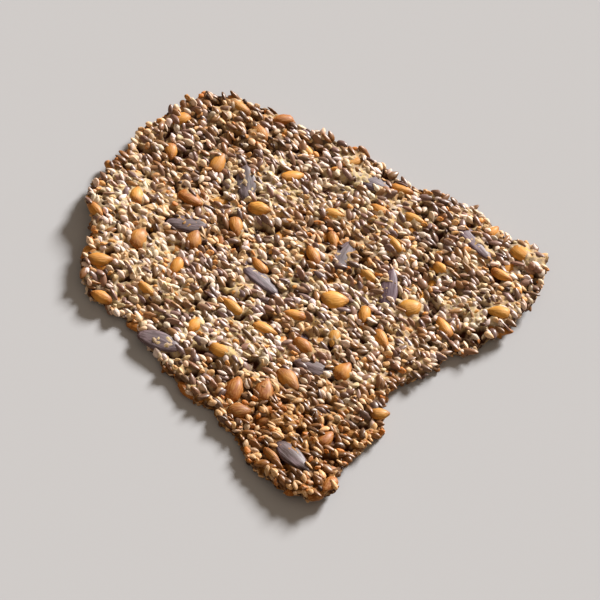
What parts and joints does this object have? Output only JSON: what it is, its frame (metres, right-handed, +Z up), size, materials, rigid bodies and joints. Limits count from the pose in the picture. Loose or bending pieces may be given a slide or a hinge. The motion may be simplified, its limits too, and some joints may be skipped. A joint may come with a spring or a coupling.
{
  "type": "seed cracker",
  "caption": "Irregular broken shard of thin baked seed cracker, with pumpkin, sunflower, flax and sesame kernels standing out of its upper face and its torn rim.",
  "frame": {"origin": "on the table under the middle of the shard's bounding box", "axes": "+Z up, out of the seeded face; +X towards the shard's right corner and +Y towards its far edge, so the blunt tip points along -Y"},
  "size_m": [0.1499, 0.1539, 0.0077],
  "materials": {
    "baked_seeds": null
  },
  "bodies": {
    "root": {"cracker": "baked_seeds"}
  },
  "joints": []
}
